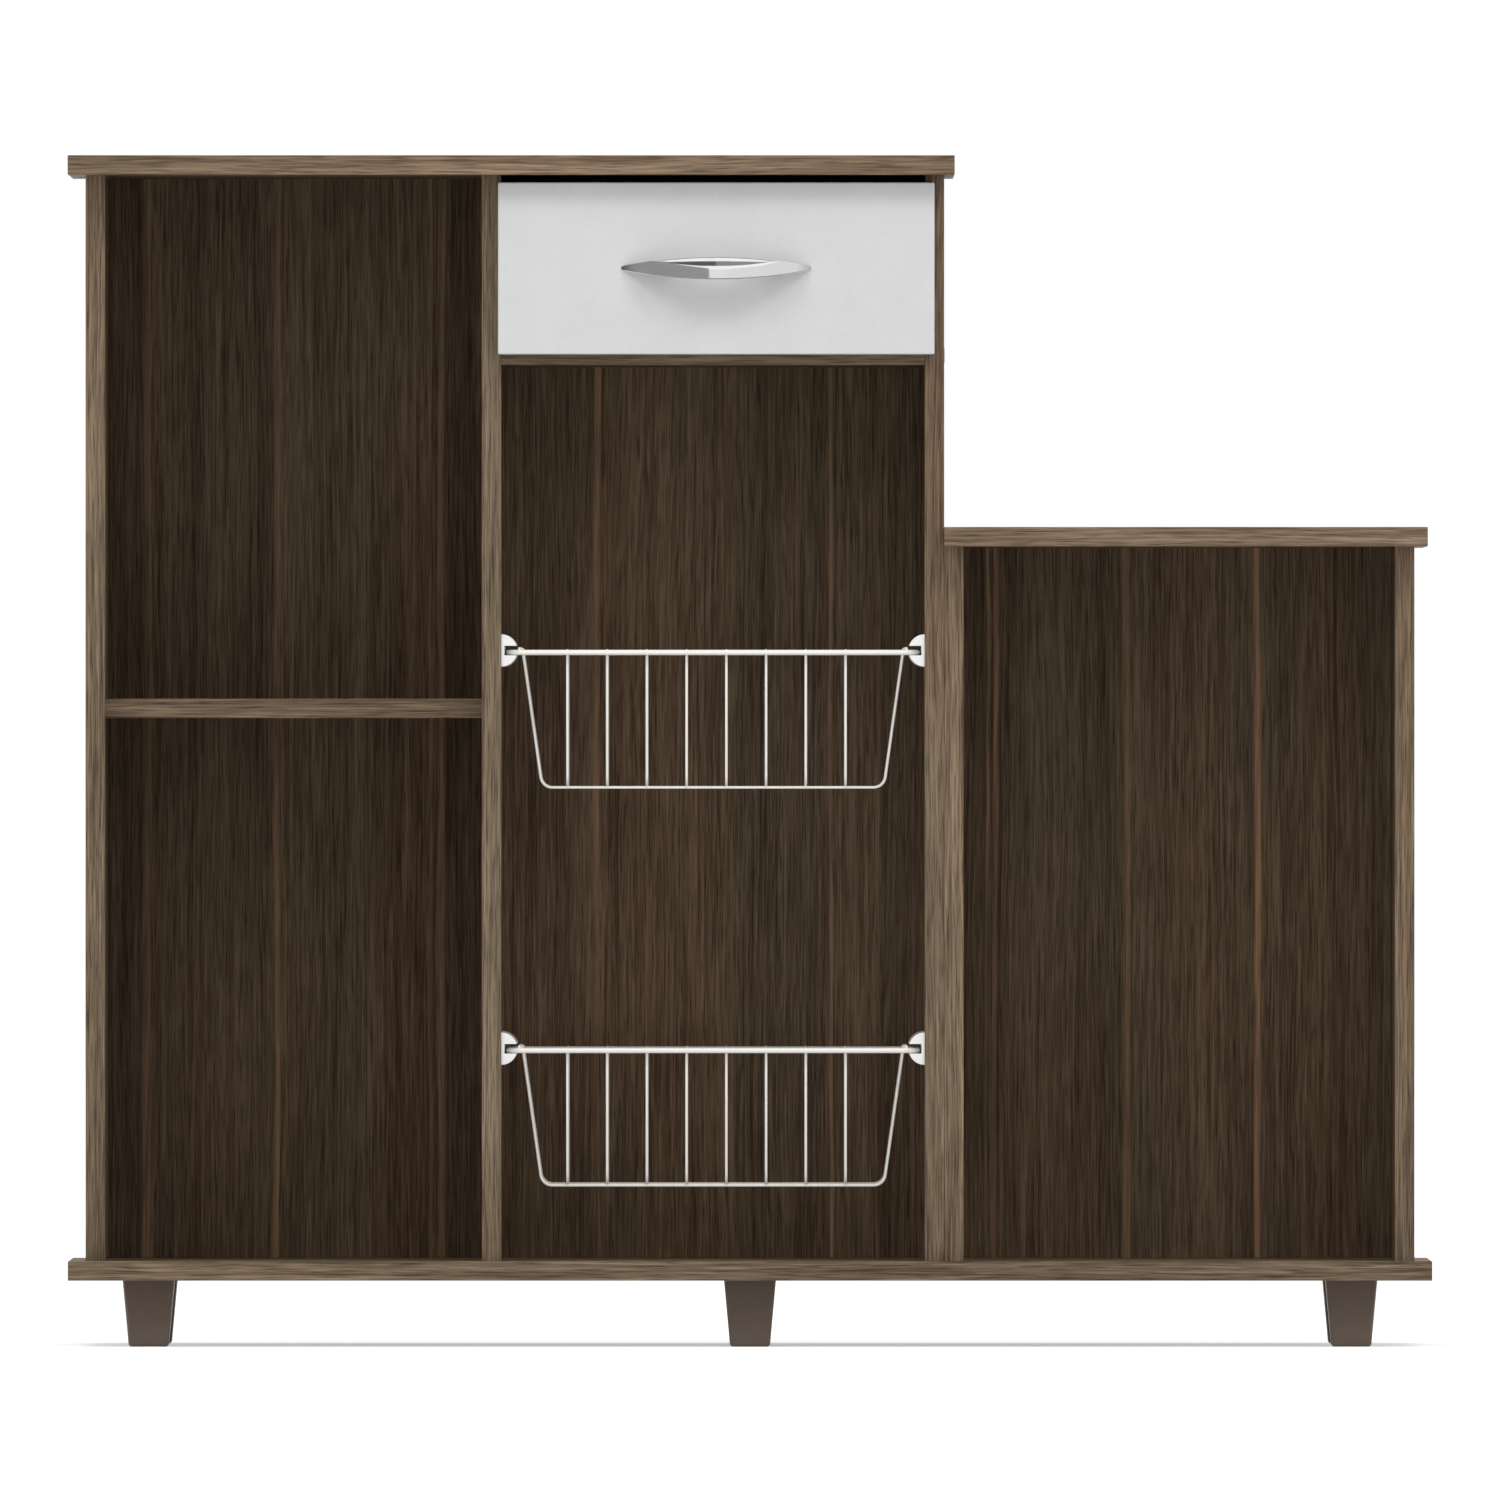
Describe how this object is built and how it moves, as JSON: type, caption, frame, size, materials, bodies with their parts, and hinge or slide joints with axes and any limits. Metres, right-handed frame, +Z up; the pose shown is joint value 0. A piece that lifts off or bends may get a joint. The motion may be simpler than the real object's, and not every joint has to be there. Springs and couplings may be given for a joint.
{
  "type": "kitchen cabinet",
  "caption": "Open kitchen base unit: a tall half with a shelf, a drawer and sliding wire baskets, beside a low open half, on one base board with tapered feet.",
  "frame": {"origin": "on the floor, under the middle of the unit's box, drawer handle included", "axes": "+X to the right seen from the front, +Y to the back, +Z up"},
  "size_m": [1.05, 0.3914, 0.917],
  "materials": {
    "wood_board": "satin light walnut print",
    "dark_back": "satin dark walnut print",
    "white_front": "fine textured white",
    "drawer_board": "matt white",
    "handle_chrome": "mirror",
    "basket_wire": "gloss white coat",
    "guide_plastic": "satin",
    "foot_plastic": "satin",
    "runner_steel": "white coat",
    "roller_nylon": "natural",
    "fastener_zinc": "zinc plated",
    "cap_plastic": "satin",
    "dowel_wood": "raw beech"
  },
  "bodies": {
    "carcass": {"base_panel": "wood_board", "left_side_panel": "wood_board", "centre_divider": "wood_board", "tall_right_side_panel": "wood_board", "low_left_side_panel": "wood_board", "low_right_side_panel": "wood_board", "tall_top_panel": "wood_board", "low_top_panel": "wood_board", "left_shelf": "wood_board", "drawer_deck": "wood_board", "left_back_panel": "dark_back", "centre_back_panel": "dark_back", "right_back_panel": "dark_back", "front_left_foot": "foot_plastic", "front_right_foot": "foot_plastic", "front_middle_foot": "foot_plastic", "rear_left_foot": "foot_plastic", "rear_middle_foot": "foot_plastic", "rear_right_foot": "foot_plastic", "upper_left_basket_guide": "guide_plastic", "upper_right_basket_guide": "guide_plastic", "lower_left_basket_guide": "guide_plastic", "lower_right_basket_guide": "guide_plastic", "cabinet_runner_left": "runner_steel", "cabinet_runner_right": "runner_steel", "base_screws": "fastener_zinc", "dowels": "dowel_wood", "cam_locks": "fastener_zinc", "cam_bolts": "fastener_zinc", "shelf_screws": "fastener_zinc", "screw_caps": "cap_plastic", "tie_bolts": "fastener_zinc", "tie_nuts": "fastener_zinc", "back_nails": "fastener_zinc", "foot_screws": "fastener_zinc", "guide_screws": "fastener_zinc", "cabinet_runner_screws": "fastener_zinc"},
    "drawer": {"drawer_front": "white_front", "drawer_left_side": "drawer_board", "drawer_right_side": "drawer_board", "drawer_back": "drawer_board", "drawer_bottom": "drawer_board", "drawer_handle": "handle_chrome", "drawer_runner_left": "runner_steel", "drawer_runner_right": "runner_steel", "handle_screws": "fastener_zinc", "drawer_cams": "fastener_zinc", "drawer_cam_bolts": "fastener_zinc", "drawer_back_screws": "fastener_zinc", "drawer_runner_screws": "fastener_zinc"},
    "upper_basket": {"upper_basket_rim": "basket_wire", "upper_basket_wires": "basket_wire"},
    "lower_basket": {"lower_basket_rim": "basket_wire", "lower_basket_wires": "basket_wire"},
    "front_roller_left": {"front_roller_left": "roller_nylon"},
    "front_roller_right": {"front_roller_right": "roller_nylon"},
    "rear_roller_left": {"rear_roller_left": "roller_nylon"},
    "rear_roller_right": {"rear_roller_right": "roller_nylon"}
  },
  "joints": [
    {"name": "drawer_slide", "type": "slide", "parent": "carcass", "child": "drawer", "axis": [0, -1, 0], "range_m": [0, 0.22]},
    {"name": "upper_basket_slide", "type": "slide", "parent": "carcass", "child": "upper_basket", "axis": [0, -1, 0], "range_m": [0, 0.18]},
    {"name": "lower_basket_slide", "type": "slide", "parent": "carcass", "child": "lower_basket", "axis": [0, -1, 0], "range_m": [0, 0.18]},
    {"name": "front_roller_left_spin", "type": "hinge", "parent": "carcass", "child": "front_roller_left", "pos_m": [-0.1861, -0.13525, 0.7906], "axis": [1, 0, 0], "range_deg": [0, 1545]},
    {"name": "front_roller_right_spin", "type": "hinge", "parent": "carcass", "child": "front_roller_right", "pos_m": [0.1291, -0.13525, 0.7906], "axis": [1, 0, 0], "range_deg": [0, 1545]},
    {"name": "rear_roller_left_spin", "type": "hinge", "parent": "drawer", "child": "rear_roller_left", "pos_m": [-0.1844, 0.13825, 0.7906], "axis": [1, 0, 0], "range_deg": [0, 1545]},
    {"name": "rear_roller_right_spin", "type": "hinge", "parent": "drawer", "child": "rear_roller_right", "pos_m": [0.1274, 0.13825, 0.7906], "axis": [1, 0, 0], "range_deg": [0, 1545]}
  ],
  "couplings": [
    {"joint": "front_roller_left_spin", "follows": "drawer_slide", "rad_per_m": 121.95},
    {"joint": "front_roller_right_spin", "follows": "drawer_slide", "rad_per_m": 121.95},
    {"joint": "rear_roller_left_spin", "follows": "drawer_slide", "rad_per_m": 121.95},
    {"joint": "rear_roller_right_spin", "follows": "drawer_slide", "rad_per_m": 121.95}
  ]
}
